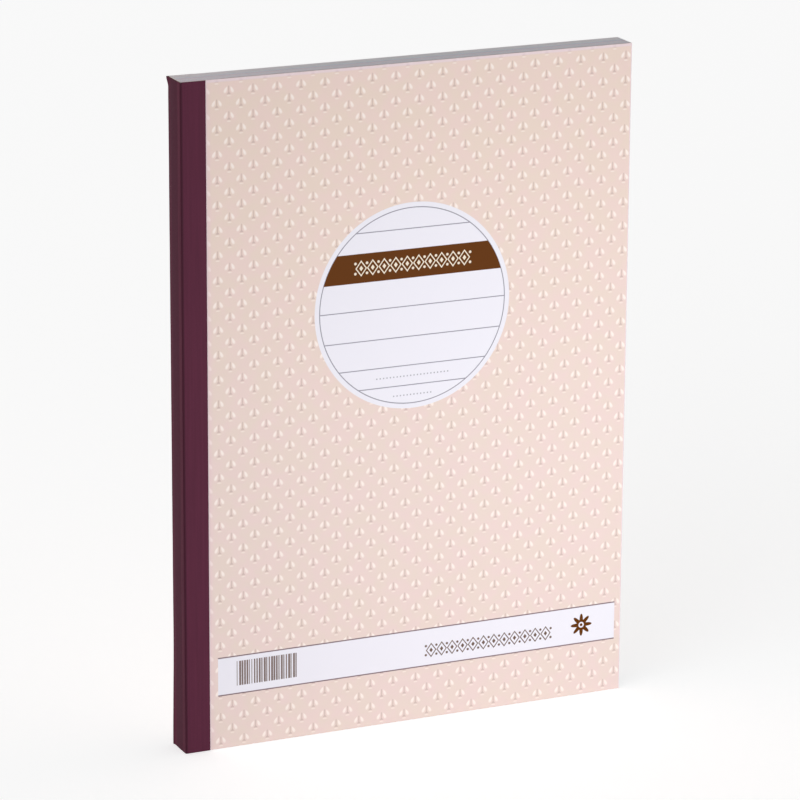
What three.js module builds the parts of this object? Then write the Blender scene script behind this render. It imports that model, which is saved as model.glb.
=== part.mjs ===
// A4 carbonless invoice book: fifty sets of three copies, stapled at the left, between two card
// covers, with a cloth tape round the spine. Millimetres, +Z up. The book stands on its tail,
// with the front cover towards -Y and the spine towards -X. The origin is the middle of its base.
import * as THREE from 'three';

// Whole book
const bookWidth = 210; // over the tape, spine to fore-edge
const bookHeight = 297; // tail to head, everything is trimmed flush

// Covers and binding
const coverCard = 0.5; // thickness of the cover card
const tapeThickness = 0.22;
const tapeReach = 11.4; // from the spine's outer face onto each cover
const tapeCornerRadius = 0.7; // outer radius of the tape's two folds
const tapeCornerSteps = 6;
const glueThickness = 0.2; // film between the block's back edge and the tape
const coverCreaseGap = 0.3; // crease between the bound strip and the turning cover

// Sheets
const sheetThickness = 0.083; // one carbonless sheet with the air around it
const copiesPerSet = 3;
const setCount = 50;
const setsPerSlab = 2; // the unopened sets are kept in bundles of this many

// First set, the one in use
const leafCreaseFromTape = 3.6; // first leaf's crease, beyond the tape's edge
const leafCreaseStep = 0.5; // each leaf creases this much further out, round those above it
const leafCreaseGap = 0.3;
const perforationFromSpine = 19.5; // middle of the perforated line
const perforationGap = 0.4; // width of the cuts
const perforationPitch = 3; // from one tie to the next
const tieWidth = 0.9; // uncut paper between two cuts
const tieClearance = 0.1; // between a tie's end and the stub

// Writing shield, a loose card under the first set
const shieldThickness = 0.35;
const shieldFromTape = 7; // its inner edge, beyond the tape's edge

// Staples
const stapleCount = 3;
const stapleFromEnd = 45; // first and last staple's middle, from the tail and head
const stapleFromSpine = 6.5;
const stapleCrown = 12; // over both legs
const stapleClinch = 4.2; // length of each bent end
const stapleBend = 0.4; // outer radius of its bends
const staplePoint = 0.6; // length of the chisel point
const stapleBendSteps = 4;
const wireWidth = 0.7;
const wireThickness = 0.45;
const wireClearance = 0.1; // round the wire in its holes and slots

// Depths from the front face of the tape to the front of each layer
const setThickness = copiesPerSet * sheetThickness;
const cardFrontDepth = tapeThickness;
const firstLeafDepth = cardFrontDepth + coverCard;
const shieldDepth = firstLeafDepth + setThickness;
const pileDepth = shieldDepth + shieldThickness;
const backCardDepth = pileDepth + (setCount - 1) * setThickness;
const backTapeDepth = backCardDepth + coverCard;
const bookThickness = backTapeDepth + tapeThickness;

// Places across the book, from the spine's outer face
const blockStart = tapeThickness + glueThickness;
const cardStart = Math.max(blockStart, tapeCornerRadius);
const coverPanelStart = tapeReach + coverCreaseGap;
const leafCreases = Array.from({ length: copiesPerSet }, (_, i) =>
  tapeReach + leafCreaseFromTape + i * leafCreaseStep);

const materials = {
  tape: new THREE.MeshStandardMaterial({ color: 0x572b3d, roughness: 0.75, metalness: 0 }),
  card: new THREE.MeshStandardMaterial({ color: 0xe6cfc4, roughness: 0.55, metalness: 0 }),
  white: new THREE.MeshStandardMaterial({ color: 0xf2f2f0, roughness: 0.85, metalness: 0 }),
  blue: new THREE.MeshStandardMaterial({ color: 0xcfdcee, roughness: 0.85, metalness: 0 }),
  pink: new THREE.MeshStandardMaterial({ color: 0xf0cdd6, roughness: 0.85, metalness: 0 }),
  pile: new THREE.MeshStandardMaterial({ color: 0xe4e0e6, roughness: 0.85, metalness: 0 }),
  board: new THREE.MeshStandardMaterial({ color: 0xb9a88e, roughness: 0.9, metalness: 0 }),
  wire: new THREE.MeshStandardMaterial({ color: 0xb8babd, roughness: 0.35, metalness: 0.9 }),
  glue: new THREE.MeshStandardMaterial({ color: 0xe9e2cf, roughness: 0.6, metalness: 0 }),
};

const book = new THREE.Group();

function add(name, geometry, material, depth) {
  const mesh = new THREE.Mesh(geometry, material);
  mesh.name = name;
  mesh.position.y = depth - bookThickness / 2;
  book.add(mesh);
}

function staplePlaces() {
  const span = bookHeight - 2 * stapleFromEnd;
  return Array.from({ length: stapleCount }, (_, i) => stapleFromEnd + (span * i) / (stapleCount - 1));
}

function rectangle(path, fromSpine, toSpine, low, high) {
  const x0 = fromSpine - bookWidth / 2;
  const x1 = toSpine - bookWidth / 2;
  path.moveTo(x0, low);
  path.lineTo(x1, low);
  path.lineTo(x1, high);
  path.lineTo(x0, high);
  path.closePath();
  return path;
}

// A flat layer as tall as the book, cut from a sheet of the given thickness. Its front face is at y = 0.
function layer(fromSpine, toSpine, thickness, holes = []) {
  const outline = rectangle(new THREE.Shape(), fromSpine, toSpine, 0, bookHeight);
  outline.holes.push(...holes);
  const geometry = new THREE.ExtrudeGeometry(outline, { depth: thickness, bevelEnabled: false });
  return geometry.rotateX(Math.PI / 2).translate(0, thickness, 0);
}

// Two holes for each staple, where its legs pass through a layer
function legHoles() {
  const x0 = stapleFromSpine - wireWidth / 2 - wireClearance;
  const x1 = stapleFromSpine + wireWidth / 2 + wireClearance;
  return staplePlaces().flatMap((middle) => [-1, 1].map((side) => {
    const outer = middle + (side * stapleCrown) / 2;
    const inner = outer - side * wireThickness;
    const low = Math.min(outer, inner) - wireClearance;
    const high = Math.max(outer, inner) + wireClearance;
    return rectangle(new THREE.Path(), x0, x1, low, high);
  }));
}

// One slot for each staple, where its crown or its clinched ends lie in the card
function crownSlots() {
  const x0 = stapleFromSpine - wireWidth / 2 - wireClearance;
  const x1 = stapleFromSpine + wireWidth / 2 + wireClearance;
  const half = stapleCrown / 2 + wireClearance;
  return staplePlaces().map((middle) =>
    rectangle(new THREE.Path(), x0, x1, middle - half, middle + half));
}

// A copy from its perforation to the fore-edge. Its bound edge is a row of ties that reach to the stub.
function perforatedLayer() {
  const edge = perforationFromSpine + perforationGap / 2 - bookWidth / 2;
  const tip = edge - perforationGap + tieClearance;
  const ties = Math.floor((bookHeight - tieWidth) / perforationPitch) + 1;
  const margin = (bookHeight - tieWidth - (ties - 1) * perforationPitch) / 2;
  const outline = new THREE.Shape();
  outline.moveTo(edge, 0);
  outline.lineTo(bookWidth / 2, 0);
  outline.lineTo(bookWidth / 2, bookHeight);
  outline.lineTo(edge, bookHeight);
  for (let i = ties - 1; i >= 0; i -= 1) {
    const low = margin + i * perforationPitch;
    outline.lineTo(edge, low + tieWidth);
    outline.lineTo(tip, low + tieWidth);
    outline.lineTo(tip, low);
    outline.lineTo(edge, low);
  }
  outline.closePath();
  const geometry = new THREE.ExtrudeGeometry(outline, { depth: sheetThickness, bevelEnabled: false });
  return geometry.rotateX(Math.PI / 2).translate(0, sheetThickness, 0);
}

// The tape's section is a U: the outer line with two round folds, and the inner line inside it.
function spineTape() {
  const section = new THREE.Shape();
  const r = tapeCornerRadius;
  const inner = r - tapeThickness;
  const left = -bookWidth / 2;
  const edge = left + tapeReach;
  const front = bookThickness / 2;
  section.moveTo(edge, front);
  section.lineTo(left + r, front);
  section.absarc(left + r, front - r, r, Math.PI / 2, Math.PI, false);
  section.lineTo(left, r - front);
  section.absarc(left + r, r - front, r, Math.PI, 1.5 * Math.PI, false);
  section.lineTo(edge, -front);
  section.lineTo(edge, tapeThickness - front);
  section.lineTo(left + r, tapeThickness - front);
  section.absarc(left + r, r - front, inner, 1.5 * Math.PI, Math.PI, true);
  section.lineTo(left + tapeThickness, front - r);
  section.absarc(left + r, front - r, inner, Math.PI, Math.PI / 2, true);
  section.lineTo(edge, front - tapeThickness);
  section.closePath();
  const geometry = new THREE.ExtrudeGeometry(section, {
    depth: bookHeight, bevelEnabled: false, curveSegments: tapeCornerSteps,
  });
  add('spine_tape', geometry, materials.tape, bookThickness / 2);
}

function spineGlue() {
  const thickness = backCardDepth - firstLeafDepth;
  add('spine_glue', layer(tapeThickness, blockStart, thickness), materials.glue, firstLeafDepth);
}

function covers() {
  for (const [side, depth] of [['front', cardFrontDepth], ['back', backCardDepth]]) {
    const strip = layer(cardStart, tapeReach, coverCard, crownSlots());
    add(`${side}_cover_bound_strip`, strip, materials.card, depth);
    add(`${side}_cover`, layer(coverPanelStart, bookWidth, coverCard), materials.card, depth);
  }
}

// A staple seen from the spine is a C: the crown in front, two legs and two ends bent towards each other.
// Its bends are round outside and tight inside, and its ends are cut to chisel points.
function staples() {
  const legs = backCardDepth - firstLeafDepth;
  const half = stapleCrown / 2;
  const t = wireThickness;
  const r = Math.min(stapleBend, t);
  const names = ['tail', 'middle', 'head'];
  staplePlaces().forEach((middle, i) => {
    const outline = new THREE.Shape();
    outline.moveTo(r - half, -t);
    outline.lineTo(half - r, -t);
    outline.absarc(half - r, r - t, r, -Math.PI / 2, 0, false);
    outline.lineTo(half, legs + t - r);
    outline.absarc(half - r, legs + t - r, r, 0, Math.PI / 2, false);
    outline.lineTo(half - stapleClinch + staplePoint, legs + t);
    outline.lineTo(half - stapleClinch, legs);
    outline.lineTo(half - t, legs);
    outline.lineTo(half - t, 0);
    outline.lineTo(t - half, 0);
    outline.lineTo(t - half, legs);
    outline.lineTo(stapleClinch - half, legs);
    outline.lineTo(stapleClinch - staplePoint - half, legs + t);
    outline.lineTo(r - half, legs + t);
    outline.absarc(r - half, legs + t - r, r, Math.PI / 2, Math.PI, false);
    outline.lineTo(-half, r - t);
    outline.absarc(r - half, r - t, r, Math.PI, 1.5 * Math.PI, false);
    outline.closePath();
    const geometry = new THREE.ExtrudeGeometry(outline, {
      depth: wireWidth, bevelEnabled: false, curveSegments: stapleBendSteps,
    });
    // The outline's x runs up the book and its y runs into the book.
    geometry.rotateY(-Math.PI / 2);
    geometry.translate(stapleFromSpine - bookWidth / 2 + wireWidth / 2, 0, middle);
    add(`staple_${names[i] ?? i + 1}`, geometry, materials.wire, firstLeafDepth);
  });
}

// The first set: a bound strip of each copy stays in the binding. The part beyond the crease turns,
// and on the upper copies it ends at the perforation, where the copy itself begins.
function firstSet() {
  const copies = [['top', materials.white], ['second', materials.blue], ['third', materials.pink]];
  leafCreases.forEach((crease, i) => {
    const [name, material] = copies[i % copies.length];
    const depth = firstLeafDepth + i * sheetThickness;
    const turnStart = crease + leafCreaseGap / 2;
    const bound = layer(blockStart, crease - leafCreaseGap / 2, sheetThickness, legHoles());
    add(`set_01_${name}_bound_strip`, bound, material, depth);
    if (i === copiesPerSet - 1) {
      add(`set_01_${name}_copy`, layer(turnStart, bookWidth, sheetThickness), material, depth);
      return;
    }
    const stub = layer(turnStart, perforationFromSpine - perforationGap / 2, sheetThickness);
    add(`set_01_${name}_stub`, stub, material, depth);
    add(`set_01_${name}_copy`, perforatedLayer(), material, depth);
  });
}

function writingShield() {
  const shield = layer(tapeReach + shieldFromTape, bookWidth, shieldThickness);
  add('writing_shield', shield, materials.board, shieldDepth);
}

// The sets not yet in use, from the second to the last
function unopenedSets() {
  const label = (n) => String(n).padStart(2, '0');
  for (let first = 2; first <= setCount; first += setsPerSlab) {
    const last = Math.min(first + setsPerSlab - 1, setCount);
    const name = last > first ? `sets_${label(first)}_${label(last)}` : `set_${label(first)}`;
    const slab = layer(blockStart, bookWidth, (last - first + 1) * setThickness, legHoles());
    add(name, slab, materials.pile, pileDepth + (first - 2) * setThickness);
  }
}

spineTape();
spineGlue();
covers();
staples();
firstSet();
writingShield();
unopenedSets();

export default book;
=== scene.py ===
# Looks of an A4 carbonless invoice book: taped spine, printed card covers, a block of thin sheets
# and the first set's leaves. Metres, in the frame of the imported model.
import math
import bpy
import numpy as np
from mathutils import Matrix, Vector


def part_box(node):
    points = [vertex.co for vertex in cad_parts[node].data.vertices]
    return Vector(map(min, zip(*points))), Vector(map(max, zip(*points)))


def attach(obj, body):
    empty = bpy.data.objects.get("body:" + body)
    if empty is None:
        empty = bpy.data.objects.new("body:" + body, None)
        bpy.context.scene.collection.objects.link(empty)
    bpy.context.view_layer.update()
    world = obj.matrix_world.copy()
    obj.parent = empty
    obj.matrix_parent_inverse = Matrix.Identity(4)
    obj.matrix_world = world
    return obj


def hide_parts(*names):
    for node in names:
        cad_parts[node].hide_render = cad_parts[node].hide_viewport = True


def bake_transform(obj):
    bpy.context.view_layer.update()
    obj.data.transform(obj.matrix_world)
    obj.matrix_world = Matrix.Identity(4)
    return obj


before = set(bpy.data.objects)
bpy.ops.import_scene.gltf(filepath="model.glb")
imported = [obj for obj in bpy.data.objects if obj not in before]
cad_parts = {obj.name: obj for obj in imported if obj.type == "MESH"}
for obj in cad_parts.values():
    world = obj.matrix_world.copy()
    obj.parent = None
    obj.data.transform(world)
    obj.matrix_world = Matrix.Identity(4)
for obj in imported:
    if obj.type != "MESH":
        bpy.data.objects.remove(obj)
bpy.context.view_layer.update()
mm = 0.001

bookLow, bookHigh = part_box("spine_tape")
cardLow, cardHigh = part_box("front_cover")
book = {
    "width": (cardHigh.x - bookLow.x) / mm,
    "height": (bookHigh.z - bookLow.z) / mm,
    "thickness": (bookHigh.y - bookLow.y) / mm,
    "tapeReach": (bookHigh.x - bookLow.x) / mm,
    "tape": (cardLow.y - bookLow.y) / mm,
}
print("frame loaded, book is", {k: round(v, 2) for k, v in book.items()}, "mm")


# Small helpers

def place(across, depth, up):
    # millimetres from the spine's outer face, from the front face and from the tail, to the frame's metres
    across, depth, up = np.broadcast_arrays(across, depth, up)
    x = bookLow.x + across * mm
    y = bookLow.y + depth * mm
    z = bookLow.z + up * mm
    return np.stack([x, y, z], axis=-1)


def smooth(low, high, value):
    # 0 below low, 1 above high, and an S-curve between them
    t = np.clip((value - low) / (high - low), 0, 1)
    return t * t * (3 - 2 * t)


def shellArrays(outer, inner):
    # A thin closed shell over a grid: outer[i, j] and inner[i, j] are its two sides, and four walls join
    # their borders. With i running along +X and j along +Z the outer side faces -Y.
    m, n = outer.shape[:2]
    index = np.arange(m * n).reshape(m, n)
    other = index + m * n
    a, b, c, d = index[:-1, :-1], index[1:, :-1], index[1:, 1:], index[:-1, 1:]
    front = np.stack([a, b, c, d], -1).reshape(-1, 4)
    a, b, c, d = other[:-1, :-1], other[1:, :-1], other[1:, 1:], other[:-1, 1:]
    back = np.stack([a, d, c, b], -1).reshape(-1, 4)
    low = np.stack([index[:-1, 0], other[:-1, 0], other[1:, 0], index[1:, 0]], -1)
    high = np.stack([index[:-1, -1], index[1:, -1], other[1:, -1], other[:-1, -1]], -1)
    left = np.stack([index[0, :-1], index[0, 1:], other[0, 1:], other[0, :-1]], -1)
    right = np.stack([index[-1, :-1], other[-1, :-1], other[-1, 1:], index[-1, 1:]], -1)
    points = np.concatenate([outer.reshape(-1, 3), inner.reshape(-1, 3)])
    walls = np.concatenate([low, high, left, right])
    return points, front, back, walls


def faceSlots(front, back, walls):
    # one material for a shell's front, one for its back and one for its edges
    return np.concatenate([np.full(len(front), 0), np.full(len(back), 1), np.full(len(walls), 2)])


def flatSheet(a, depth, v, thickness):
    # A flat sheet over the grid of places a across and v up: its points, faces, print places and face slots
    points, front, back, walls = shellArrays(place(a, depth, v), place(a, depth + thickness, v))
    grid = np.stack([a / book["width"], v / book["height"]], -1).reshape(-1, 2)
    faces = np.concatenate([front, back, walls])
    return points, faces, np.concatenate([grid, grid]), faceSlots(front, back, walls)


def makeObject(name, points, faces, uv=None, slots=None):
    mesh = bpy.data.meshes.new(name)
    mesh.from_pydata(points.tolist(), [], faces.tolist())
    if uv is not None:
        layer = mesh.uv_layers.new(name="print")
        layer.data.foreach_set("uv", uv[faces.ravel()].astype(np.float32).ravel())
    if slots is not None:
        mesh.polygons.foreach_set("material_index", slots.astype(np.int32))
    mesh.update()
    made = bpy.data.objects.new(name, mesh)
    bpy.context.scene.collection.objects.link(made)
    return made


def dress(piece, *materials):
    # Clearing the list also forgets which face has which material, so an empty list is left alone.
    if piece.data.materials:
        piece.data.materials.clear()
    for material in materials:
        piece.data.materials.append(material)


def bevelEdges(piece, width):
    bevel = piece.modifiers.new("softEdges", "BEVEL")
    bevel.width = width * mm
    bevel.segments = 2
    bevel.limit_method = "ANGLE"
    bevel.angle_limit = math.radians(50)


# Materials

class Wiring:
    # Short calls for a material's nodes. A value may be a number or another node's output.
    def __init__(self, name):
        self.material = bpy.data.materials.new(name)
        self.material.use_nodes = True
        self.nodes = self.material.node_tree.nodes
        self.links = self.material.node_tree.links
        self.shader = self.nodes["Principled BSDF"]

    def put(self, socket, value):
        if isinstance(value, bpy.types.NodeSocket):
            self.links.new(value, socket)
        else:
            socket.default_value = value

    def math(self, operation, a, b=0.0):
        node = self.nodes.new("ShaderNodeMath")
        node.operation = operation
        self.put(node.inputs[0], a)
        self.put(node.inputs[1], b)
        return node.outputs[0]

    def plus(self, a, b):
        return self.math("ADD", a, b)

    def minus(self, a, b):
        return self.math("SUBTRACT", a, b)

    def times(self, a, b):
        return self.math("MULTIPLY", a, b)

    def over(self, a, b):
        return self.math("DIVIDE", a, b)

    def square(self, a):
        return self.math("POWER", a, 2.0)

    def size(self, a):
        return self.math("ABSOLUTE", a)

    def chain(self, operation, values):
        result = values[0]
        for value in values[1:]:
            result = self.math(operation, result, value)
        return result

    def both(self, *masks):
        return self.chain("MULTIPLY", masks)

    def either(self, *masks):
        return self.chain("MAXIMUM", masks)

    def ramp(self, low, high, value):
        # 0 at low, 1 at high, an S-curve between, also with low above high
        node = self.nodes.new("ShaderNodeMapRange")
        node.interpolation_type = "SMOOTHSTEP"
        self.put(node.inputs["Value"], value)
        flip = low > high
        self.put(node.inputs["From Min"], high if flip else low)
        self.put(node.inputs["From Max"], low if flip else high)
        self.put(node.inputs["To Min"], 1.0 if flip else 0.0)
        self.put(node.inputs["To Max"], 0.0 if flip else 1.0)
        return node.outputs["Result"]

    def above(self, limit, value, soft=0.1):
        # 1 above the limit, 0 below it, and a soft step over twice the softness
        return self.ramp(limit - soft, limit + soft, value)

    def below(self, limit, value, soft=0.1):
        return self.ramp(limit + soft, limit - soft, value)

    def within(self, low, high, value, soft=0.08):
        # 1 between low and high
        return self.times(self.above(low, value, soft), self.below(high, value, soft))

    def joined(self, x, y):
        # one vector from two values
        node = self.nodes.new("ShaderNodeCombineXYZ")
        self.put(node.inputs["X"], x)
        self.put(node.inputs["Y"], y)
        return node.outputs["Vector"]

    def split(self, vector):
        node = self.nodes.new("ShaderNodeSeparateXYZ")
        self.put(node.inputs["Vector"], vector)
        return node.outputs["X"], node.outputs["Y"]

    def mix(self, factor, first, second):
        node = self.nodes.new("ShaderNodeMix")
        node.data_type = "RGBA"
        self.put(node.inputs[0], factor)
        self.put(node.inputs[6], first)
        self.put(node.inputs[7], second)
        return node.outputs[2]

    def lay(self, base, tint, mask, share):
        # a tint over the base where the mask is, at a share of its full strength
        return self.mix(self.times(mask, share), base, tint)

    def noise(self, vector, scale, detail=3.0, roughness=0.5):
        # the looks below give scale, detail and roughness in this order, for places in millimetres
        node = self.nodes.new("ShaderNodeTexNoise")
        self.put(node.inputs["Vector"], vector)
        node.inputs["Scale"].default_value = scale
        node.inputs["Detail"].default_value = detail
        node.inputs["Roughness"].default_value = roughness
        return node.outputs["Fac"]

    def patches(self, noise):
        # a noise's middle values spread over 0 to 1
        return self.ramp(0.3, 0.7, noise)

    def objectSpace(self, scale=(1000.0, 1000.0, 1000.0)):
        # the piece's own coordinates, in millimetres
        coordinate = self.nodes.new("ShaderNodeTexCoord")
        mapping = self.nodes.new("ShaderNodeMapping")
        mapping.inputs["Scale"].default_value = scale
        self.links.new(coordinate.outputs["Object"], mapping.inputs["Vector"])
        return mapping.outputs["Vector"]

    def printSpace(self, width=book["width"]):
        # the piece's UV map as millimetres across and up, and as one vector
        uv = self.nodes.new("ShaderNodeUVMap")
        uv.uv_map = "print"
        u, v = self.split(uv.outputs["UV"])
        across = self.times(u, width)
        up = self.times(v, book["height"])
        return across, up, self.joined(across, up)

    def bump(self, height, distance, strength):
        node = self.nodes.new("ShaderNodeBump")
        node.inputs["Distance"].default_value = distance * mm
        node.inputs["Strength"].default_value = strength
        self.links.new(height, node.inputs["Height"])
        self.links.new(node.outputs["Normal"], self.shader.inputs["Normal"])

    def finish(self, color, roughness, **constants):
        self.put(self.shader.inputs["Base Color"], color)
        self.put(self.shader.inputs["Roughness"], roughness)
        for name, value in constants.items():
            self.shader.inputs[name.replace("_", " ")].default_value = value
        return self.material


def colour(red, green, blue):
    # 0 to 255 as seen on a screen, to the linear values that a shader takes
    screen = np.array([red, green, blue]) / 255
    linear = np.where(screen <= 0.04045, screen / 12.92, ((screen + 0.055) / 1.055) ** 2.4)
    return (*linear.tolist(), 1.0)


def tone(base, factor):
    # the same colour, lighter or darker
    return tuple(min(1.0, c * factor) for c in base[:3]) + (1.0,)


tapeLook = {
    # The fold colour is painted shade, for the dark line along each fold of the tape.
    "face": colour(80, 31, 52), "worn": colour(100, 52, 70), "fold": colour(50, 14, 30),
    # The spine colour is painted shade, a darker copy of the face colour, and the pale spine colour beside it
    # is a painted highlight.
    "spine": colour(66, 11, 36), "spineHighlight": colour(83, 28, 49),
    "streakAcross": 0.9, "streakUp": 0.02, "streakNoise": (1.0, 3.0, 0.55), "streakTone": 1.16,
    "streakSpread": (0.3, 0.75), "highlightSpread": (0.2, 0.6), "wornSpread": (0.45, 0.8),
    "weavePitch": 0.42, "weaveDepth": 0.02, "weaveStrength": 0.6, "roughness": 0.62, "gloss": 0.16,
    "fibreNoise": (2.2, 4.0, 0.6), "fibreLift": 1.5, "fibreRough": 0.18, "fibreShare": 0.35,
    "foldShadeWidth": 0.9, "foldShadeInset": 0.3, "foldShadeSoft": 0.45, "foldShadeShare": 0.8,  # painted shade: a dark line beside each fold
    "edgeWidth": 0.25, "edgeShare": 0.5, "spineShadeSoft": 0.2,
    "highlightFrom": 0.8, "highlightTo": 3.6, "highlightSoft": 0.5,  # painted highlight: the paler stretch of the spine, from its fold
}


def tapeMaterial(girth, folds):
    # Cloth-effect binding tape: a fine plain weave pressed in, painted shade as a dark line at each fold and
    # as a darker spine, a painted highlight on the spine beside each fold, paler at its edges
    w = Wiring("maroonTape")
    t = tapeLook
    along, up, flat = w.printSpace(girth)
    turn = 2 * math.pi / t["weavePitch"]
    weave = w.times(w.math("SINE", w.times(along, turn)), w.math("SINE", w.times(up, turn)))
    fibre = w.noise(flat, *t["fibreNoise"])
    stretched = w.joined(w.times(along, t["streakAcross"]), w.times(up, t["streakUp"]))
    streak = w.noise(stretched, *t["streakNoise"])
    color = w.mix(w.ramp(*t["streakSpread"], streak), t["face"], tone(t["face"], t["streakTone"]))
    # Over the spine the colour is a darker copy as painted shade, with a painted highlight a little in from
    # each fold
    middle, halfSpine = (folds[0] + folds[1]) / 2, (folds[1] - folds[0]) / 2
    fromMiddle = w.size(w.minus(along, middle))
    highlightMask = w.within(halfSpine - t["highlightTo"], halfSpine - t["highlightFrom"], fromMiddle, t["highlightSoft"])
    spineShadeAndHighlight = w.mix(w.times(highlightMask, w.ramp(*t["highlightSpread"], streak)), t["spine"], t["spineHighlight"])
    color = w.mix(w.below(halfSpine, fromMiddle, t["spineShadeSoft"]), color, spineShadeAndHighlight)
    color = w.lay(color, t["worn"], w.ramp(*t["wornSpread"], fibre), t["fibreShare"])
    # painted shade: a dark line along each fold
    half = t["foldShadeWidth"] / 2
    for fold in folds:
        crease = w.within(fold - half, fold + half, along, t["foldShadeSoft"])
        color = w.lay(color, t["fold"], crease, t["foldShadeShare"])
    edge = w.either(w.ramp(t["edgeWidth"], 0.0, along), w.ramp(girth - t["edgeWidth"], girth, along))
    color = w.lay(color, t["worn"], edge, t["edgeShare"])
    w.bump(w.plus(weave, w.times(fibre, t["fibreLift"])), t["weaveDepth"], t["weaveStrength"])
    rough = w.plus(t["roughness"], w.times(fibre, t["fibreRough"]))
    return w.finish(color, rough, Specular_IOR_Level=t["gloss"])


cardLook = {
    "paper": colour(232, 212, 206), "paperWarm": colour(231, 215, 201), "paperPink": colour(236, 210, 208),
    "cloudNoise": (0.09, 3.0, 0.6), "cloudSpread": (0.35, 0.65), "cloudShare": 0.4,
    "paperHead": colour(236, 213, 200), "headFrom": 90.0, "headTo": 290.0, "headShare": 0.8,
    "petal": colour(254, 242, 236), "petalShare": 0.82, "stem": colour(196, 172, 165), "stemShare": 0.66,
    "dash": colour(248, 234, 226), "dashShare": 0.7,
    # The rim colour is a painted highlight, a pale line along the cover's edges.
    "edgeHighlight": colour(234, 215, 221), "edgeHighlightWidth": 0.45, "edgeHighlightSoft": 0.15, "edgeHighlightShare": 0.8,
    "headHighlightFrom": 1.6, "headHighlightTo": 0.8,
    "blush": colour(233, 205, 209), "blushWidth": 3.0, "blushShare": 0.5,
    "core": colour(236, 222, 222), "inside": colour(240, 233, 225), "shield": colour(190, 174, 150),
    "fibreNoise": (1.6, 5.0, 0.6), "fibreDepth": 0.02, "fibreStrength": 0.35, "fibreRough": 0.14,
    "roughness": 0.42, "gloss": 0.07,
}
sprigShape = {
    "pitchAcross": 10.9, "pitchUp": 10.88, "firstAcross": 16.4, "firstUp": 69.0,
    "petalAcross": 1.4, "petalUp": 0.15, "petalLean": 24, "petalHalfLength": 1.4, "petalHalfWidth": 0.6,
    "petalTaper": 0.18,  # how much narrower it gets for each millimetre up
    "petalFade": (1.7, 0.2), "dashFade": (1.5, 0.5),  # squares of the shares of their size
    "stemHalf": 0.15, "stemLow": -1.75, "stemHigh": 1.8, "stemFade": (0.2, -0.1), "stemSoft": 0.25,
    "footFrom": -0.7, "footTo": -1.9, "footHalf": 0.75,
    "dashUp": -2.45, "dashHalfAcross": 0.95, "dashHalfUp": 0.32,
}
inkLook = {
    "white": colour(237, 235, 244), "brown": colour(95, 49, 0), "brownSoft": colour(108, 86, 76),
    "ruleGrey": colour(146, 144, 156), "stripRule": colour(130, 110, 116), "cream": colour(240, 228, 208),
    "barShare": 0.9, "dotShare": 0.8,
}
lozengeShape = {  # shares of half a lozenge's height
    "heartOut": 0.36, "heartIn": 0.3, "dotUp": 0.62, "dotOut": 0.2, "dotIn": 0.12,
}
labelLayout = {
    "across": 106.6, "up": 190.1, "radius": 45.9, "ring": 43.6, "ringWidth": 0.42,
    "rules": (34.4, 0.0, -13.6, -26.5, -35.4), "ruleWidth": 0.42, "bandLow": 12.5, "bandHigh": 25.4,
    "bandCount": 10, "bandPitch": 5.4, "bandHalf": 3.6, "bandLine": 0.8,
    "dots": (-31.2, -39.8), "dotReach": (18.0, 9.0), "dotPitch": 1.6,
    "dotOut": 0.16, "dotIn": 0.06,  # squares of the radius where a dot fades out and where it is full
}
stripLayout = {
    "left": 15.3, "right": 206.9, "low": 24.4, "high": 41.6, "ruleWidth": 0.55,
    "barsLeft": 24.0, "barsRight": 52.2, "barsLow": 28.0, "barsHigh": 39.2, "barPitch": 1.15,
    "barThin": 0.3, "barSpread": 0.55, "barStep": 2.4, "barJump": 7.3,
    "borderAcross": 144.6, "borderUp": 31.4, "borderCount": 12, "borderPitch": 5.1,
    "borderHalf": 3.4, "borderLine": 0.75,
    "rosetteAcross": 190.4, "rosetteUp": 33.0, "rosetteRadius": 5.2, "lobes": 8.0, "lobeDepth": 0.26,
    "holeIn": 1.25, "holeOut": 1.45, "eyeIn": 0.6, "eyeOut": 0.75,
}


def sprigMasks(w, across, up):
    # Sprigs stand in rows half a pitch apart, each row shifted by half a sprig. Inside a cell x runs from the
    # stem and y from the sprig's middle: two leaning petals, a stem that spreads at its foot, a dash below.
    s = sprigShape
    rowHeight = s["pitchUp"] / 2
    rows = w.over(w.minus(up, s["firstUp"]), rowHeight)
    rowNumber = w.math("ROUND", rows)
    y = w.times(w.minus(rows, rowNumber), rowHeight)
    shift = w.times(w.math("FLOORED_MODULO", rowNumber, 2.0), 0.5)
    columns = w.plus(w.over(w.minus(across, s["firstAcross"]), s["pitchAcross"]), shift)
    x = w.times(w.minus(columns, w.math("ROUND", columns)), s["pitchAcross"])
    side = w.size(x)
    px, py = w.minus(side, s["petalAcross"]), w.minus(y, s["petalUp"])
    lean = math.radians(s["petalLean"])
    long = w.minus(w.times(py, math.cos(lean)), w.times(px, math.sin(lean)))
    wide = w.plus(w.times(px, math.cos(lean)), w.times(py, math.sin(lean)))
    halfWidth = w.minus(s["petalHalfWidth"], w.times(long, s["petalTaper"]))
    petal = w.plus(w.square(w.over(long, s["petalHalfLength"])), w.square(w.over(wide, halfWidth)))
    stemHalf = w.plus(s["stemHalf"], w.times(w.ramp(s["footFrom"], s["footTo"], y), s["footHalf"]))
    stem = w.both(w.ramp(*s["stemFade"], w.minus(side, stemHalf)),
                  w.within(s["stemLow"], s["stemHigh"], y, s["stemSoft"]))
    dashX, dashY = w.over(x, s["dashHalfAcross"]), w.over(w.minus(y, s["dashUp"]), s["dashHalfUp"])
    dash = w.plus(w.square(dashX), w.square(dashY))
    return w.ramp(*s["petalFade"], petal), stem, w.ramp(*s["dashFade"], dash)


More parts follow.
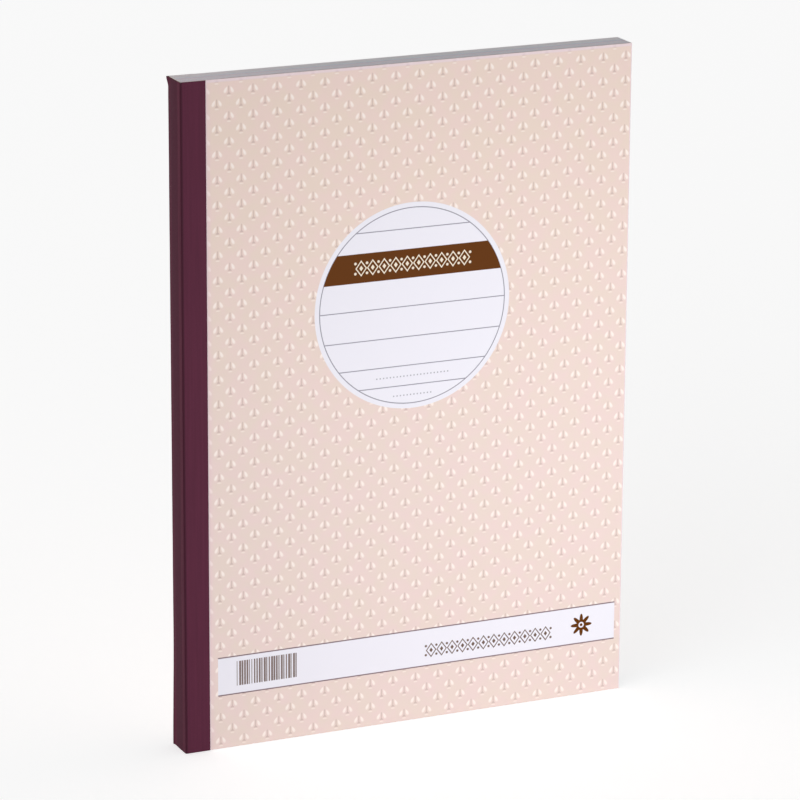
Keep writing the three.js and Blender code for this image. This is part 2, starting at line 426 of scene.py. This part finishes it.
def lozengeRow(w, x, y, count, pitch, half, line):
    # An even number of outlined lozenges side by side, each with a full one in it, and a dot above and below
    # each meeting point and each end
    s = lozengeShape
    reach = count * pitch / 2
    side = w.size(w.times(w.minus(w.math("FRACT", w.over(x, pitch)), 0.5), pitch))
    rise = w.size(y)
    spread = w.plus(w.times(side, 2 * half / pitch), rise)
    outline = w.within(half - line, half, spread)
    heart = w.ramp(s["heartOut"] * half, s["heartIn"] * half, spread)
    away = w.plus(w.square(w.minus(pitch / 2, side)), w.square(w.minus(rise, s["dotUp"] * half)))
    dot = w.ramp((s["dotOut"] * half) ** 2, (s["dotIn"] * half) ** 2, away)
    fromMiddle = w.size(x)
    body = w.both(w.either(outline, heart), w.below(reach, fromMiddle))
    return w.either(body, w.both(dot, w.ramp(reach + pitch / 3, reach + pitch / 4, fromMiddle)))


def labelMasks(w, across, up):
    # The round label: white disc, thin ring, rules cut off at the ring, a brown band with a plain border
    s = labelLayout
    x, y = w.minus(across, s["across"]), w.minus(up, s["up"])
    r = w.math("SQRT", w.plus(w.square(x), w.square(y)))
    disc = w.below(s["radius"], r)
    half = s["ringWidth"] / 2
    ring = w.within(s["ring"] - half, s["ring"] + half, r)
    inside = w.below(s["ring"], r, 0.05)
    half = s["ruleWidth"] / 2
    rule = w.both(inside, w.either(*(w.within(v - half, v + half, y) for v in s["rules"])))
    band = w.both(inside, w.within(s["bandLow"], s["bandHigh"], y, 0.1))
    row = lozengeRow(w, x, w.minus(y, (s["bandLow"] + s["bandHigh"]) / 2), s["bandCount"],
                     s["bandPitch"], s["bandHalf"], s["bandLine"])
    dots = []
    for height, reach in zip(s["dots"], s["dotReach"]):
        wave = w.math("FRACT", w.over(x, s["dotPitch"]))
        dotX = w.times(w.minus(wave, 0.5), s["dotPitch"])
        spot = w.ramp(s["dotOut"], s["dotIn"], w.plus(w.square(dotX), w.square(w.minus(y, height))))
        dots.append(w.both(spot, w.ramp(reach + 0.2, reach, w.size(x))))
    return disc, ring, rule, band, row, w.either(*dots)


def stripMasks(w, across, up):
    # The white strip: a rule above and below, plain bars that say nothing, a row of lozenges, a rosette
    s = stripLayout
    wide = w.within(s["left"], s["right"], across)
    strip = w.both(wide, w.within(s["low"], s["high"], up))
    half = s["ruleWidth"] / 2
    rules = w.both(wide, w.either(*(w.within(v - half, v + half, up) for v in (s["low"], s["high"]))))
    count = w.over(w.minus(across, s["barsLeft"]), s["barPitch"])
    wave = w.math("SINE", w.times(w.math("FLOOR", count), s["barStep"]))
    chance = w.math("FRACT", w.times(wave, s["barJump"]))
    fill = w.plus(s["barThin"], w.times(chance, s["barSpread"]))
    bar = w.below(0.0, w.minus(w.math("FRACT", count), fill), 0.05)
    bars = w.both(bar, w.within(s["barsLeft"], s["barsRight"], across),
                  w.within(s["barsLow"], s["barsHigh"], up))
    border = lozengeRow(w, w.minus(across, s["borderAcross"]), w.minus(up, s["borderUp"]),
                        s["borderCount"], s["borderPitch"], s["borderHalf"], s["borderLine"])
    x, y = w.minus(across, s["rosetteAcross"]), w.minus(up, s["rosetteUp"])
    radius = w.math("SQRT", w.plus(w.square(x), w.square(y)))
    wave = w.math("COSINE", w.times(w.math("ARCTAN2", y, x), s["lobes"]))
    lobes = w.plus(1 - s["lobeDepth"], w.times(wave, s["lobeDepth"]))
    outside = w.minus(radius, w.times(lobes, s["rosetteRadius"]))
    rosette = w.both(w.below(0.0, outside, 0.15), w.ramp(s["holeIn"], s["holeOut"], radius))
    return strip, rules, bars, border, w.either(rosette, w.ramp(s["eyeOut"], s["eyeIn"], radius))


def sprigged(w, across, up, flat):
    # Peach card with its sprigs, a little cloudy and warmer towards the head, with a painted highlight, a
    # pale line, along the trimmed edges and beside the tape
    c = cardLook
    base = w.lay(c["paper"], c["paperHead"], w.ramp(c["headFrom"], c["headTo"], up), c["headShare"])
    cloud = w.ramp(*c["cloudSpread"], w.noise(flat, *c["cloudNoise"]))
    base = w.mix(c["cloudShare"], base, w.mix(cloud, c["paperWarm"], c["paperPink"]))
    petal, stem, dash = sprigMasks(w, across, up)
    base = w.lay(base, c["dash"], dash, c["dashShare"])
    base = w.lay(base, c["petal"], petal, c["petalShare"])
    base = w.lay(base, c["stem"], stem, c["stemShare"])
    # painted highlight: a pale line beside the tape, along the head and along the fore-edge
    tapeHighlightEnd = book["tapeReach"] + c["edgeHighlightWidth"]
    blush = w.ramp(book["tapeReach"] + c["blushWidth"], tapeHighlightEnd, across)
    base = w.lay(base, c["blush"], blush, c["blushShare"])
    edgeHighlight = w.either(w.below(tapeHighlightEnd, across, c["edgeHighlightSoft"]),
                   w.ramp(book["height"] - c["headHighlightFrom"], book["height"] - c["headHighlightTo"], up),
                   w.above(book["width"] - c["edgeHighlightWidth"], across))
    return w.lay(base, c["edgeHighlight"], edgeHighlight, c["edgeHighlightShare"])


def varnished(w, flat, base):
    # a fine fibre under a thin varnish
    fibre = w.noise(flat, *cardLook["fibreNoise"])
    w.bump(fibre, cardLook["fibreDepth"], cardLook["fibreStrength"])
    rough = w.plus(cardLook["roughness"], w.times(fibre, cardLook["fibreRough"]))
    return w.finish(base, rough, Specular_IOR_Level=cardLook["gloss"])


def backCard():
    # The back cover has the sprigs alone
    w = Wiring("patternedCard")
    across, up, flat = w.printSpace()
    return varnished(w, flat, sprigged(w, across, up, flat))


def printedCard():
    # The front cover: sprigs, and on top of them the strip and the label
    w = Wiring("printedCard")
    ink = inkLook
    across, up, flat = w.printSpace()
    base = sprigged(w, across, up, flat)
    strip, rules, bars, border, rosette = stripMasks(w, across, up)
    base = w.mix(strip, base, ink["white"])
    base = w.mix(rules, base, ink["stripRule"])
    base = w.lay(base, ink["brownSoft"], bars, ink["barShare"])
    base = w.mix(border, base, ink["brownSoft"])
    base = w.mix(rosette, base, ink["brown"])
    disc, ring, rule, band, ornament, dots = labelMasks(w, across, up)
    base = w.mix(disc, base, ink["white"])
    base = w.mix(w.either(ring, rule), base, ink["ruleGrey"])
    base = w.lay(base, ink["ruleGrey"], dots, ink["dotShare"])
    base = w.mix(band, base, ink["brown"])
    base = w.mix(w.both(band, ornament), base, ink["cream"])
    return varnished(w, flat, base)


bareCard = {
    "cloudScale": 0.2, "cloudTone": 0.95, "fibreNoise": (3.0, 6.0, 0.7), "fibreSpread": (0.6, 0.75),
    "fibreTone": 0.86, "fibreShare": 0.3, "depth": 0.03, "strength": 0.4, "roughness": 0.8, "gloss": 0.25,
}
bareSheet = {
    "cloudScale": 0.5, "cloudTone": 0.965, "fibreNoise": (3.0, 5.0, 0.65), "fibreSpread": (0.58, 0.75),
    "fibreTone": 0.9, "fibreShare": 0.2, "depth": 0.015, "strength": 0.3, "roughness": 0.88, "gloss": 0.2,
}


def bareFinish(w, flat, tint, look):
    # Uncoated and unprinted: cloudy, with short darker fibres
    cloud = w.patches(w.noise(flat, look["cloudScale"]))
    fibre = w.noise(flat, *look["fibreNoise"])
    color = w.mix(cloud, tint, tone(tint, look["cloudTone"]))
    fibres = w.ramp(*look["fibreSpread"], fibre)
    color = w.lay(color, tone(tint, look["fibreTone"]), fibres, look["fibreShare"])
    w.bump(fibre, look["depth"], look["strength"])
    return w.finish(color, look["roughness"], Specular_IOR_Level=look["gloss"])


def plainCard(name, tint):
    # the covers' inside and cut edges, and the writing shield
    w = Wiring(name)
    return bareFinish(w, w.objectSpace(), tint, bareCard)


def plainSheet(name, tint):
    # the reverse of a sheet
    w = Wiring(name)
    return bareFinish(w, w.printSpace()[2], tint, bareSheet)


sheetLook = {
    "white": colour(240, 240, 238), "blue": colour(206, 216, 236), "pink": colour(240, 212, 220),
    "whiteTrim": colour(241, 246, 240), "blueTrim": colour(212, 228, 240), "pinkTrim": colour(242, 226, 227),
    "ink": colour(120, 136, 170), "lineShare": 0.8, "rowShare": 0.35, "headShare": 0.16,
    "cloudScale": 0.5, "cloudTone": 0.975, "fibreNoise": (3.0, 4.0, 0.6), "fibreDepth": 0.015,
    "fibreStrength": 0.3, "roughness": 0.85, "gloss": 0.2,
    "trimTone": 0.86, "trimStretch": (150.0, 9000.0, 150.0), "trimNoise": (1.0, 3.0, 0.6),
    "trimRoughness": 0.9, "trimGloss": 0.15,
    # painted light: the trimmed edges are painted paler towards the spine
    "paintedLight": colour(255, 246, 248), "paintedLightTo": 90.0, "paintedLightShare": 0.7,
}
formLayout = {
    "left": 26.0, "right": 202.0, "high": 286.0, "line": 0.3, "soft": 0.06,
    "partyLeft": 116.0, "partyLow": 238.0, "tableHigh": 224.0, "tableHeadLow": 216.0, "tableLow": 62.0,
    "rowPitch": 7.0, "rowLine": 0.035, "rowCore": 0.015,
    "columns": (44.0, 122.0, 146.0, 172.0), "totalLeft": 146.0, "totalRows": (50.0, 38.0, 26.0),
}


def sheetMaterial(name, tint):
    # Thin uncoated paper with the ruled invoice form: boxes, columns and rows, and no words
    w = Wiring(name)
    across, up, flat = w.printSpace()
    f = formLayout
    half = f["line"] / 2

    def upright(x, low, high):
        return w.both(w.within(x - half, x + half, across, f["soft"]), w.within(low, high, up))

    def level(y, left, right):
        return w.both(w.within(y - half, y + half, up, f["soft"]), w.within(left, right, across))

    left, right, totalLow = f["left"], f["right"], f["totalRows"][-1]
    lines = [level(v, f["partyLeft"], right) for v in (f["high"], f["partyLow"])]
    lines += [upright(x, f["partyLow"], f["high"]) for x in (f["partyLeft"], right)]
    lines += [level(v, left, right) for v in (f["tableHigh"], f["tableHeadLow"], f["tableLow"])]
    lines += [upright(x, f["tableLow"], f["tableHigh"]) for x in (left, *f["columns"])]
    lines += [upright(right, totalLow, f["tableHigh"]), upright(f["totalLeft"], totalLow, f["tableLow"])]
    lines += [level(v, f["totalLeft"], right) for v in f["totalRows"]]
    rowPart = w.math("FRACT", w.over(w.minus(up, f["tableLow"]), f["rowPitch"]))
    tableWide = w.within(left, right, across)
    faint = w.both(w.ramp(f["rowLine"], f["rowCore"], rowPart), tableWide,
                   w.within(f["tableLow"], f["tableHeadLow"], up))
    head = w.both(w.within(f["tableHeadLow"], f["tableHigh"], up), tableWide)
    cloud = w.patches(w.noise(flat, sheetLook["cloudScale"]))
    color = w.mix(cloud, tint, tone(tint, sheetLook["cloudTone"]))
    color = w.lay(color, sheetLook["ink"], head, sheetLook["headShare"])
    color = w.lay(color, sheetLook["ink"], faint, sheetLook["rowShare"])
    color = w.lay(color, sheetLook["ink"], w.either(*lines), sheetLook["lineShare"])
    fibre = w.noise(flat, *sheetLook["fibreNoise"])
    w.bump(fibre, sheetLook["fibreDepth"], sheetLook["fibreStrength"])
    return w.finish(color, sheetLook["roughness"], Specular_IOR_Level=sheetLook["gloss"])


def edgeMaterial(name, tint):
    # The trimmed edges of the stacked sheets: each a little lighter or darker along its length, and with
    # painted light that makes them paler towards the spine
    w = Wiring(name)
    fromSpine = w.split(w.objectSpace())[0]
    # painted light: paler towards the spine
    litTowardsSpine = w.ramp(sheetLook["paintedLightTo"] + bookLow.x / mm, bookLow.x / mm, fromSpine)
    grain = w.noise(w.objectSpace(sheetLook["trimStretch"]), *sheetLook["trimNoise"])
    color = w.mix(w.patches(grain), tone(tint, sheetLook["trimTone"]), tint)
    color = w.lay(color, sheetLook["paintedLight"], litTowardsSpine, sheetLook["paintedLightShare"])
    return w.finish(color, sheetLook["trimRoughness"], Specular_IOR_Level=sheetLook["trimGloss"])


wireLook = {
    "dark": colour(172, 175, 178), "light": colour(206, 208, 210), "stretch": (4000.0, 4000.0, 60.0),
    "drawnNoise": (1.0, 4.0, 0.6), "roughness": 0.26, "drawnRough": 0.2, "depth": 0.01, "strength": 0.3,
}
glueLook = {
    "dark": colour(226, 216, 190), "light": colour(240, 232, 212), "lumpNoise": (0.8, 4.0, 0.55),
    "depth": 0.1, "strength": 0.5, "roughness": 0.45, "gloss": 0.45,
}


def wireMaterial():
    # Galvanised wire: drawn along its length, a little dull
    w = Wiring("stapleWire")
    drawn = w.noise(w.objectSpace(wireLook["stretch"]), *wireLook["drawnNoise"])
    color = w.mix(drawn, wireLook["dark"], wireLook["light"])
    rough = w.plus(wireLook["roughness"], w.times(drawn, wireLook["drawnRough"]))
    w.bump(drawn, wireLook["depth"], wireLook["strength"])
    return w.finish(color, rough, Metallic=1.0)


def glueMaterial():
    # Dried binding glue, cream-coloured and uneven
    w = Wiring("spineGlue")
    lumps = w.noise(w.objectSpace(), *glueLook["lumpNoise"])
    color = w.mix(lumps, glueLook["dark"], glueLook["light"])
    w.bump(lumps, glueLook["depth"], glueLook["strength"])
    return w.finish(color, glueLook["roughness"], Specular_IOR_Level=glueLook["gloss"])


# Camera and light, before any piece

cameraPlace = {"azimuth": -24.12, "elevation": 16.39, "roll": 0.32, "distance": 1.9016,
               "target": (-0.0011, 0.0, 0.1461), "lens": 196.83, "sensor": 36.0, "seesTo": 200.0}


def makeCamera():
    azimuth, elevation = math.radians(cameraPlace["azimuth"]), math.radians(cameraPlace["elevation"])
    level = math.cos(elevation)
    back = Vector((math.sin(azimuth) * level, -math.cos(azimuth) * level, math.sin(elevation)))
    data = bpy.data.cameras.new("camera")
    data.lens = cameraPlace["lens"]
    data.sensor_width = cameraPlace["sensor"]
    data.clip_end = cameraPlace["seesTo"]
    camera = bpy.data.objects.new("camera", data)
    bpy.context.scene.collection.objects.link(camera)
    camera.rotation_mode = "QUATERNION"
    camera.location = Vector(cameraPlace["target"]) + back * cameraPlace["distance"]
    turn = (-back).to_track_quat("-Z", "Y")
    roll = Matrix.Rotation(math.radians(cameraPlace["roll"]), 3, "Z")
    camera.rotation_quaternion = turn @ roll.to_quaternion()
    bpy.context.scene.camera = camera


light = {
    "keyFrom": (0.14, -0.40, 0.095), "key": 0.93, "keySize": (0.3, 0.14),
    "rearFrom": (0.42, 0.72, 0.13), "rear": 4.4, "rearSize": (0.4, 0.24),
    "fillFrom": (-1.0, -0.60, 0.16), "fill": 1.95, "fillAngle": 60,
    "sky": 0.36, "floor": (0.8, 0.8, 0.8, 1.0), "floorGlow": 0.56, "backdrop": 0.94,
    "white": (1.0, 1.0, 1.0, 1.0), "floorReach": 30.0, "floorDrop": 0.0001,
}


def aim(lamp, towards):
    # a lamp shines along its own -Z
    lamp.rotation_mode = "QUATERNION"
    lamp.rotation_quaternion = Vector(towards).to_track_quat("Z", "Y")
    bpy.context.scene.collection.objects.link(lamp)


def makeSun(name, towards, strength, angle):
    data = bpy.data.lights.new(name, "SUN")
    data.energy = strength
    data.angle = math.radians(angle)
    aim(bpy.data.objects.new(name, data), towards)


def makePanel(name, where, power, size, floor):
    # a low soft box that faces the middle of the book and leaves the floor as it is
    data = bpy.data.lights.new(name, "AREA")
    data.shape = "RECTANGLE"
    data.energy = power
    data.size, data.size_y = size
    lamp = bpy.data.objects.new(name, data)
    middle = Vector((0, 0, (bookLow.z + bookHigh.z) / 2))
    lamp.location = Vector(where)
    lamp.visible_camera = False
    aim(lamp, Vector(where) - middle)
    spared = bpy.data.collections.new(name + "Spares")
    spared.objects.link(floor)
    spared.collection_objects[0].light_linking.link_state = "EXCLUDE"
    lamp.light_linking.receiver_collection = spared


def seenRay(nodes, links):
    # 1 for rays that show a surface to the viewer, in a gloss or through glass as well
    path = nodes.new("ShaderNodeLightPath")
    seen = path.outputs["Is Camera Ray"]
    for other in ("Is Glossy Ray", "Is Transmission Ray"):
        most = nodes.new("ShaderNodeMath")
        most.operation = "MAXIMUM"
        links.new(seen, most.inputs[0])
        links.new(path.outputs[other], most.inputs[1])
        seen = most.outputs[0]
    return seen


def makeBackdrop():
    # a plain world, brighter where it is seen than where it lights the book
    scene = bpy.context.scene
    scene.view_settings.view_transform = "Standard"
    world = bpy.data.worlds.new("studio")
    scene.world = world
    world.use_nodes = True
    nodes, links = world.node_tree.nodes, world.node_tree.links
    ground = nodes["Background"]
    ground.inputs["Color"].default_value = light["white"]
    strength = nodes.new("ShaderNodeMapRange")
    links.new(seenRay(nodes, links), strength.inputs["Value"])
    strength.inputs["To Min"].default_value = light["sky"]
    strength.inputs["To Max"].default_value = light["backdrop"]
    links.new(strength.outputs["Result"], ground.inputs["Strength"])


def makeFloor():
    reach, drop = light["floorReach"], bookLow.z - light["floorDrop"]
    corners = np.array([[x * reach, y * reach, drop] for x, y in ((-1, -1), (1, -1), (1, 1), (-1, 1))])
    floor = makeObject("floor", corners, np.array([[0, 1, 2, 3]]))
    w = Wiring("floorPaper")
    glow = w.times(seenRay(w.nodes, w.links), light["floorGlow"])
    w.put(w.shader.inputs["Emission Strength"], glow)
    dress(floor, w.finish(light["floor"], 1.0, Specular_IOR_Level=0.0, Emission_Color=light["white"]))
    return floor


def makeStudio():
    makeBackdrop()
    makeSun("fill", light["fillFrom"], light["fill"], light["fillAngle"])
    floor = makeFloor()
    makePanel("key", light["keyFrom"], light["key"], light["keySize"], floor)
    makePanel("rear", light["rearFrom"], light["rear"], light["rearSize"], floor)


makeCamera()
makeStudio()
print("camera and studio ready")


# The tape round the spine

tapeShape = {
    "corner": 0.7, "cornerSteps": 8, "flatSteps": 14, "spineSteps": 17, "edge": 0.06,
    "rows": ((0, 6, 13), (10, 287, 56), (290, book["height"], 15)),  # closer near the tail and the head
    "bow": 0.12, "ripple": 0.02, "rippleLong": 11.0, "rippleShort": 4.1, "ripplePhase": 1.0,
    "nub": 0.8, "nubLength": 4.5, "nubWidth": 1.3, "nubInset": 0.4, "nubBack": 0.4,
    "flareShare": 0.7, "flareLength": 50.0,
}


def tapeLine(offset):
    # The tape's section from its edge on the back cover, round the spine, to its edge on the front cover:
    # straight runs and two quarter circles. offset moves the line inwards. It returns across and depth.
    r = tapeShape["corner"]
    t = book["thickness"]
    turn = np.linspace(0, math.pi / 2, tapeShape["cornerSteps"] + 1)
    flat = np.linspace(book["tapeReach"], r, tapeShape["flatSteps"])[:-1]
    spine = np.linspace(t - r, r, tapeShape["spineSteps"])[1:-1]
    backRun = np.stack([flat, np.full(flat.shape, t - offset)], -1)
    backFold = np.stack([r - (r - offset) * np.sin(turn), t - r + (r - offset) * np.cos(turn)], -1)
    spineRun = np.stack([np.full(spine.shape, offset), spine], -1)
    frontFold = np.stack([r - (r - offset) * np.cos(turn), r - (r - offset) * np.sin(turn)], -1)
    frontRun = np.stack([flat[::-1], np.full(flat.shape, offset)], -1)
    return np.concatenate([backRun, backFold, spineRun, frontFold, frontRun])


def makeTape():
    s = tapeShape
    outer, inner = tapeLine(0.0), tapeLine(book["tape"])
    steps = np.linalg.norm(np.diff(outer, axis=0), axis=1)
    along = np.concatenate([[0], np.cumsum(steps)])
    girth = along[-1]
    rows = np.concatenate([np.linspace(*run) for run in s["rows"]])
    # The spine bows out by a squared sine between its folds. At the head the back fold stands off as a small
    # nub, a bell curve round the fold, and towards the tail the same bell flares out slowly.
    depthShare = outer[:, 1] / book["thickness"]
    onSpine = np.clip(1 - outer[:, 0] / s["corner"], 0, 1)
    bow = s["bow"] * onSpine * np.sin(math.pi * depthShare) ** 2
    nub = s["nub"] * np.exp(-((along - (book["tapeReach"] - s["nubInset"])) / s["nubWidth"]) ** 2)
    rise = smooth(book["height"] - s["nubLength"], book["height"], rows)
    rise = rise + s["flareShare"] * smooth(s["flareLength"], 0, rows)
    ripple = s["ripple"] * np.sin(rows / s["rippleLong"])
    ripple = ripple * np.sin(rows / s["rippleShort"] + s["ripplePhase"])
    push = bow[:, None] + nub[:, None] * rise[None, :] + onSpine[:, None] * ripple[None, :]
    lift = s["nubBack"] * nub[:, None] * rise[None, :]
    sides = [place(line[:, :1] - push, line[:, 1:] + lift, rows[None, :]) for line in (outer, inner)]
    points, front, back, walls = shellArrays(sides[0], sides[1])
    u, v = np.meshgrid(along / girth, rows / book["height"], indexing="ij")
    grid = np.stack([u, v], -1).reshape(-1, 2)
    uv = np.concatenate([grid, grid])
    tape = makeObject("maroon_spine_tape", points, np.concatenate([front, back, walls]), uv)
    # Each fold's painted shade line sits a little off the middle of its turn
    quarter = s["corner"] * math.pi / 2
    fold = book["tapeReach"] - s["corner"] + quarter / 2 - tapeLook["foldShadeInset"]
    dress(tape, tapeMaterial(girth, (fold, girth - fold)))
    bevelEdges(tape, s["edge"])
    tape.data.shade_smooth()
    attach(tape, "binding")
    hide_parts("spine_tape")


makeTape()
print("tape made")


# The two card covers, each one card from under the tape to the fore-edge

coverShape = {
    "boundSteps": 5, "boundGap": 1.0, "creaseSteps": 15, "creasePast": 0.1, "panelSteps": 34,
    "panelGap": 1.2, "upSteps": 45, "edge": 0.07,
    "wave": 0.05, "waveFrom": 30, "waveTo": 190, "waveAcross": 61.0, "waveUp": 47.0, "wavePhase": 0.6,
    "waveShort": 19.0, "waveShortShare": 0.4,
}


def makeCover(side):
    s = coverShape
    front = side == "front"
    low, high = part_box(f"{side}_cover")
    boundLow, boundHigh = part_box(f"{side}_cover_bound_strip")
    start = (boundLow.x - bookLow.x) / mm
    creaseStart = (boundHigh.x - bookLow.x) / mm
    creaseEnd = (low.x - bookLow.x) / mm
    end = (high.x - bookLow.x) / mm
    crease = np.linspace(creaseStart - s["creasePast"], creaseEnd + s["creasePast"], s["creaseSteps"])
    across = np.concatenate([np.linspace(start, creaseStart - s["boundGap"], s["boundSteps"]), crease,
                             np.linspace(creaseEnd + s["panelGap"], end, s["panelSteps"])])
    up = np.linspace(0, book["height"], s["upSteps"])
    a, v = np.meshgrid(across, up, indexing="ij")
    # A faint wave of sines, nothing at the tape and under a tenth of a millimetre at the fore-edge
    wave = np.sin(v / s["waveUp"] + s["wavePhase"]) * np.cos(a / s["waveAcross"])
    wave = wave + s["waveShortShare"] * np.sin(v / s["waveShort"])
    wave = s["wave"] * smooth(s["waveFrom"], s["waveTo"], a) * wave
    faceDepth = (low.y - bookLow.y) / mm
    backDepth = (high.y - bookLow.y) / mm
    shift = -np.abs(wave) if front else np.abs(wave)
    card = makeObject(f"{side}_cover_card", *flatSheet(a, faceDepth + shift, v, backDepth - faceDepth))
    if front:
        dress(card, materials["printed"], materials["coverInside"], materials["cardCore"])
    else:
        dress(card, materials["coverInside"], materials["backPrint"], materials["cardCore"])
    bevelEdges(card, s["edge"])
    # Both covers are baked where the frame has them, the same way for each.
    if front:
        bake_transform(card)
    else:
        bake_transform(card)
    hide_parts(f"{side}_cover", f"{side}_cover_bound_strip")


materials = {
    "printed": printedCard(),
    "backPrint": backCard(),
    "coverInside": plainCard("coverInside", cardLook["inside"]),
    "cardCore": plainCard("cardCore", cardLook["core"]),
    "shield": plainCard("shieldBoard", cardLook["shield"]),
    "white": sheetMaterial("whiteSheet", sheetLook["white"]),
    "blue": sheetMaterial("blueSheet", sheetLook["blue"]),
    "pink": sheetMaterial("pinkSheet", sheetLook["pink"]),
    "whiteBack": plainSheet("whiteSheetBack", sheetLook["white"]),
    "blueBack": plainSheet("blueSheetBack", sheetLook["blue"]),
    "pinkBack": plainSheet("pinkSheetBack", sheetLook["pink"]),
    "whiteEdge": edgeMaterial("whiteSheetEdge", sheetLook["whiteTrim"]),
    "blueEdge": edgeMaterial("blueSheetEdge", sheetLook["blueTrim"]),
    "pinkEdge": edgeMaterial("pinkSheetEdge", sheetLook["pinkTrim"]),
    "wire": wireMaterial(),
    "glue": glueMaterial(),
}
makeCover("front")
makeCover("back")
print("covers made")


# The block: every sheet of sets 2 to 50 is a thin leaf of its own, trimmed a hair unevenly

sheetPitch = (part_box("set_01_second_copy")[0].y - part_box("set_01_top_copy")[0].y) / mm
sheetShape = {
    "thickness": 0.07, "trim": 0.05, "seed": 12, "acrossSteps": 8, "upSteps": 11,
    "sag": 0.4, "sagUp": 53.0, "sagAcross": 41.0, "sagTurn": 0.7,
}
sheetColours = ("white", "blue", "pink")
blockNodes = sorted((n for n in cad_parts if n.startswith("sets_") or n == "set_50"),
                    key=lambda n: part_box(n)[0].y)


def makeBundle(node, firstSheet, random):
    # The sheets of one node of the frame, each with its own trim and a sag of crossed sines inside its share
    # of the depth
    s = sheetShape
    low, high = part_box(node)
    front = (low.y - bookLow.y) / mm
    count = round((high.y - low.y) / mm / sheetPitch)
    left = (low.x - bookLow.x) / mm
    right = (high.x - bookLow.x) / mm
    spare = sheetPitch - s["thickness"]
    pointList, faceList, uvList, slotList = [], [], [], []
    total = 0
    for k in range(count):
        trim = random.uniform(-1, 0, 3) * s["trim"]
        across = np.linspace(left, right + trim[0], s["acrossSteps"])
        up = np.linspace(-trim[1], book["height"] + trim[2], s["upSteps"])
        a, v = np.meshgrid(across, up, indexing="ij")
        sag = spare * s["sag"] * np.sin(v / s["sagUp"] + k + firstSheet)
        sag = sag * np.sin(a / s["sagAcross"] + s["sagTurn"] * k)
        depth = front + k * sheetPitch + spare / 2 + sag
        points, faces, uv, slots = flatSheet(a, depth, v, s["thickness"])
        tint = (firstSheet + k) % len(sheetColours)
        pointList.append(points)
        uvList.append(uv)
        faceList.append(faces + total)
        slotList.append(slots * len(sheetColours) + tint)
        total += len(points)
    bundle = makeObject(f"{node}_sheets", np.concatenate(pointList), np.concatenate(faceList),
                        np.concatenate(uvList), np.concatenate(slotList))
    dress(bundle, *(materials[c + side] for side in ("", "Back", "Edge") for c in sheetColours))
    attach(bundle, "binding")
    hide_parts(node)
    return firstSheet + count


random = np.random.default_rng(sheetShape["seed"])
sheetNumber = 0
for node in blockNodes:
    sheetNumber = makeBundle(node, sheetNumber, random)
print("block made:", sheetNumber, "sheets in", len(blockNodes), "bundles")


# The first set: each leaf's bound strip and stub are one sheet across its crease, and its copy hangs on
# the stub by a row of small bridges, the perforation

leafShape = {
    "thickness": 0.072, "tiePitch": 3.0, "tie": 0.9, "tieReach": 0.3, "tieCorner": 0.01,
    "boundSteps": 4, "boundGap": 1, "creaseSteps": 5, "freeGap": 0.8, "fewestSteps": 5, "freeStep": 8,
    "upSteps": 34, "firstShares": (0, 0.004, 0.02), "otherShares": (0.06, 1, 14),
}


def leafOf(name, copyTint, nodesFixed, nodeTurning):
    # one flat sheet from the binding to its last edge, with rows at the crease between its two parts of the
    # frame
    s = leafShape
    fixedLow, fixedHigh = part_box(nodesFixed)
    turnLow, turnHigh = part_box(nodeTurning)
    left = (fixedLow.x - bookLow.x) / mm
    crease = np.linspace((fixedHigh.x - bookLow.x) / mm, (turnLow.x - bookLow.x) / mm, s["creaseSteps"])
    right = (turnHigh.x - bookLow.x) / mm
    count = max(s["fewestSteps"], int((right - crease[-1]) / s["freeStep"]))
    across = np.concatenate([np.linspace(left, crease[0] - s["boundGap"], s["boundSteps"]), crease,
                             np.linspace(crease[-1] + s["freeGap"], right, count)])
    up = np.linspace(0, book["height"], s["upSteps"])
    a, v = np.meshgrid(across, up, indexing="ij")
    depth = (fixedLow.y - bookLow.y) / mm + (sheetPitch - s["thickness"]) / 2
    leaf = makeObject(name, *flatSheet(a, depth, v, s["thickness"]))
    dress(leaf, *(materials[copyTint + side] for side in ("", "Back", "Edge")))
    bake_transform(leaf)
    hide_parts(nodesFixed, nodeTurning)


def makeCopy(name, node, copyTint, body):
    # the tear-off copy: its bound edge is a row of small bridges that reach across the perforation
    s = leafShape
    low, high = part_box(node)
    left = (low.x - bookLow.x) / mm
    right = (high.x - bookLow.x) / mm
    # The frame's copy starts at its ties' ends. Two rows at each side of a tie make its corners square.
    ties = int((book["height"] - s["tie"]) // s["tiePitch"]) + 1
    margin = (book["height"] - s["tie"] - (ties - 1) * s["tiePitch"]) / 2
    starts = margin + np.arange(ties) * s["tiePitch"]
    ends = starts + s["tie"]
    up = np.concatenate([[0, book["height"]], starts - s["tieCorner"], starts, ends, ends + s["tieCorner"]])
    up = np.sort(up)
    tied = np.isin(up, starts) | np.isin(up, ends)
    first = np.where(tied, left, left + s["tieReach"])
    share = np.concatenate([s["firstShares"], np.linspace(*s["otherShares"])])
    a = first[None, :] + share[:, None] * (right - first)[None, :]
    v = np.broadcast_to(up[None, :], a.shape)
    depth = (low.y - bookLow.y) / mm + (sheetPitch - s["thickness"]) / 2
    copy = makeObject(name, *flatSheet(a, depth, v, s["thickness"]))
    dress(copy, *(materials[copyTint + side] for side in ("", "Back", "Edge")))
    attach(copy, body)
    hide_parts(node)


for copyName, tint in (("top", "white"), ("second", "blue")):
    leafOf(f"{copyName}_leaf_stub", tint, f"set_01_{copyName}_bound_strip", f"set_01_{copyName}_stub")
    makeCopy(f"{copyName}_tear_off_copy", f"set_01_{copyName}_copy", tint, f"{copyName}_copy")
leafOf("third_leaf", "pink", "set_01_third_bound_strip", "set_01_third_copy")
print("first set made")


# What stays as the frame has it gets its finish

for node in ("staple_tail", "staple_middle", "staple_head"):
    dress(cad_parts[node], materials["wire"])
dress(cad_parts["spine_glue"], materials["glue"])
dress(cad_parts["writing_shield"], materials["shield"])
